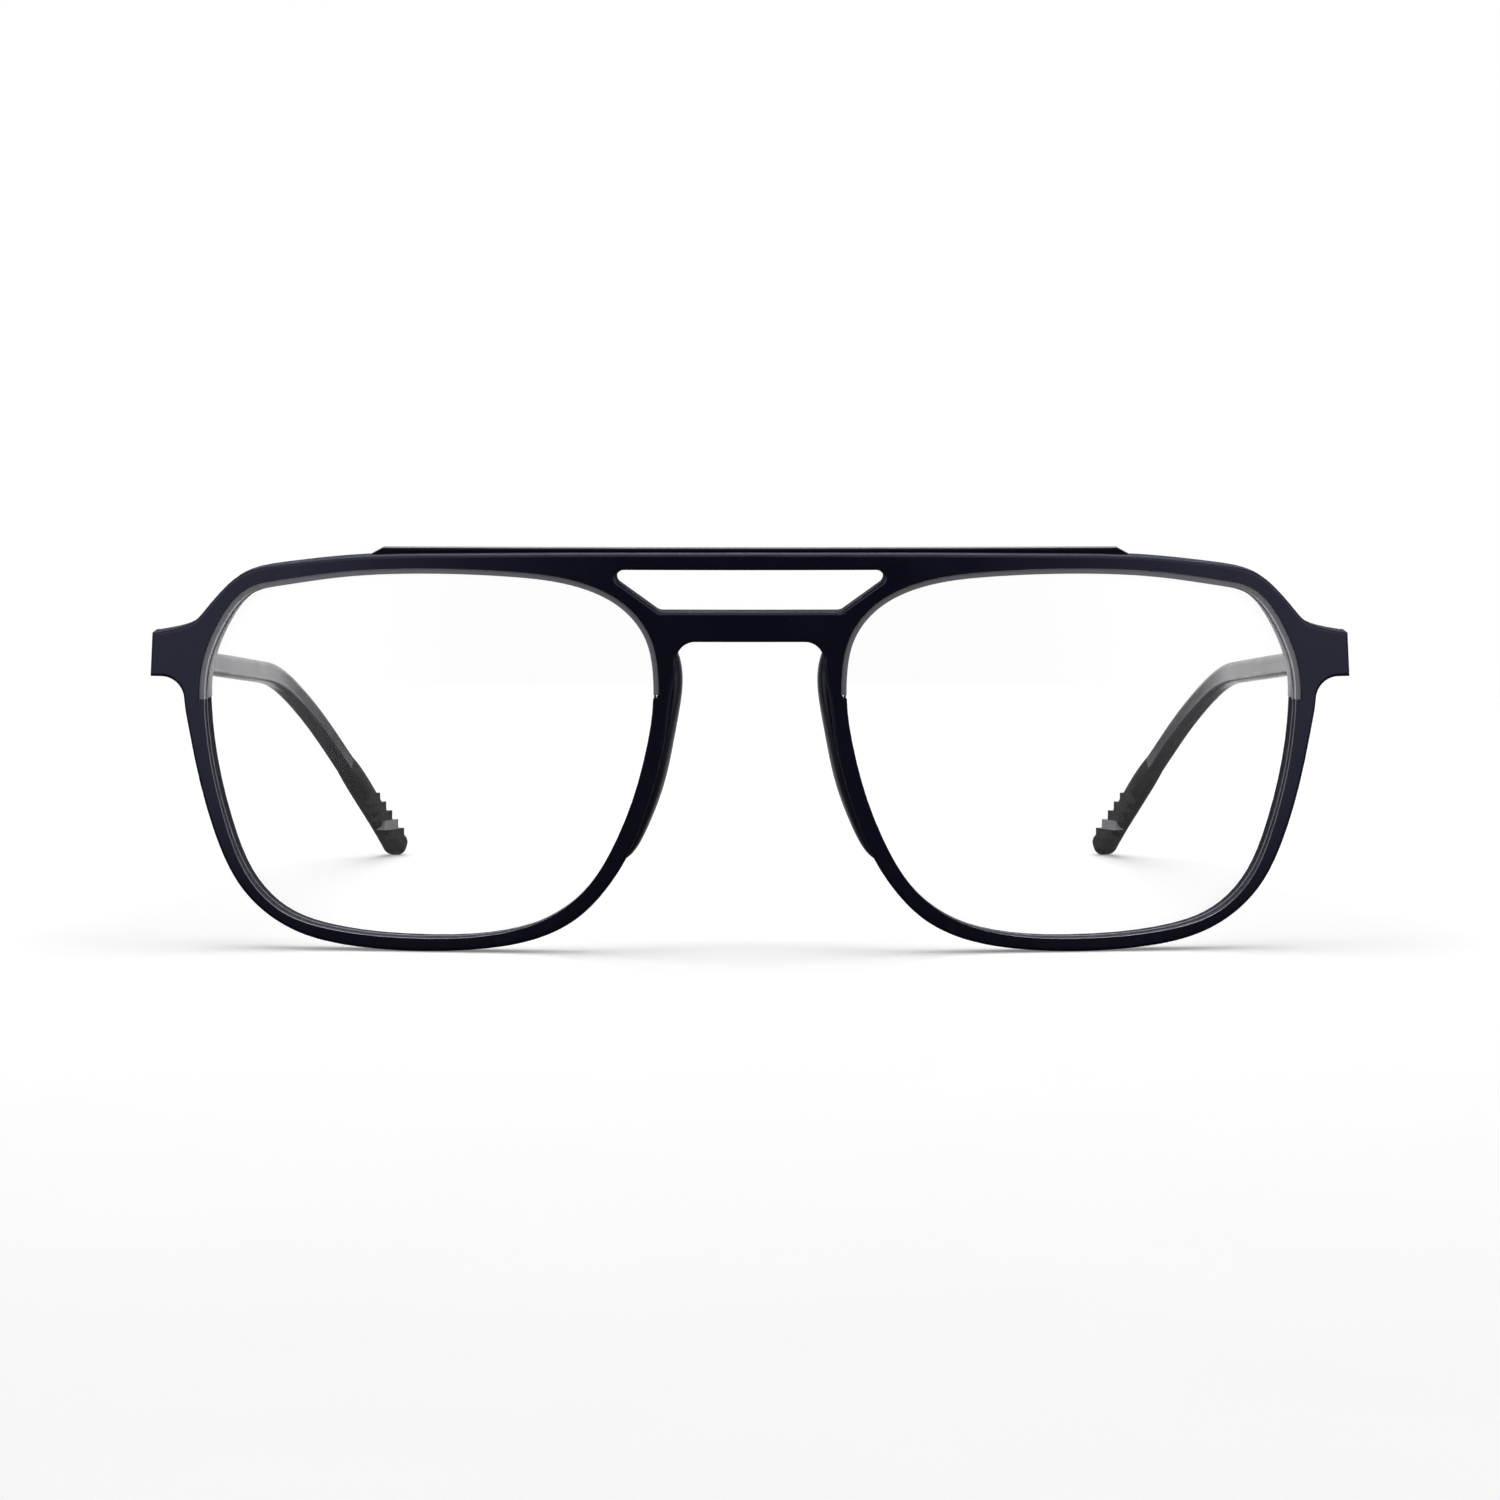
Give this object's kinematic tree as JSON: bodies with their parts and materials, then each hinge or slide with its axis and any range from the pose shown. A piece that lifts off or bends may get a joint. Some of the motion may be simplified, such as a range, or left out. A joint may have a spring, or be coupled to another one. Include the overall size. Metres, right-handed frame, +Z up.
{
  "type": "double bridge glasses",
  "caption": "Spectacle frame with two bridges around a trapezoid window, squared lenses in translucent liners and inward-folding temples with rubber tips.",
  "frame": {"origin": "middle of the footprint, on the surface that the glasses stand on", "axes": "+X to the wearer's left, -Y out of the front, temples to +Y, +Z up"},
  "size_m": [0.1396, 0.1447, 0.0469],
  "materials": {
    "frame": "satin dark navy acetate",
    "brow": "polished black",
    "liner": "smoke grey, translucent",
    "lens": "clear, polished",
    "pad": "satin dark navy",
    "hinge": "stainless, brushed",
    "screw": "stainless, turned",
    "washer": "natural, matte",
    "rivet": "stainless, domed and filed",
    "temple": "satin dark navy acetate",
    "tip": "matte black",
    "inlay": "matte light grey"
  },
  "bodies": {
    "front": {"brow_bar": "brow", "front_frame": "frame", "front_hinge_left": "hinge", "front_hinge_right": "hinge", "front_hinge_rivets_left": "rivet", "front_hinge_rivets_right": "rivet", "hinge_screw_left": "screw", "hinge_screw_right": "screw", "hinge_washers_left": "washer", "hinge_washers_right": "washer", "lens_left": "lens", "lens_right": "lens", "nose_pad_left": "pad", "nose_pad_right": "pad", "rim_liner_left": "liner", "rim_liner_right": "liner"},
    "temple_left": {"temple_arm_left": "temple", "temple_hinge_left": "hinge", "temple_hinge_rivets_left": "rivet", "temple_tip_left": "tip", "tip_inlay_left": "inlay"},
    "temple_right": {"temple_arm_right": "temple", "temple_hinge_right": "hinge", "temple_hinge_rivets_right": "rivet", "temple_tip_right": "tip", "tip_inlay_right": "inlay"}
  },
  "joints": [
    {"name": "left_temple_fold", "type": "hinge", "parent": "front", "child": "temple_left", "pos_m": [0.0647, -0.05587, 0.03445], "axis": [0, 0, 1], "range_deg": [0, 84.5]},
    {"name": "right_temple_fold", "type": "hinge", "parent": "front", "child": "temple_right", "pos_m": [-0.0647, -0.05587, 0.03445], "axis": [0, 0, -1], "range_deg": [0, 78]}
  ]
}
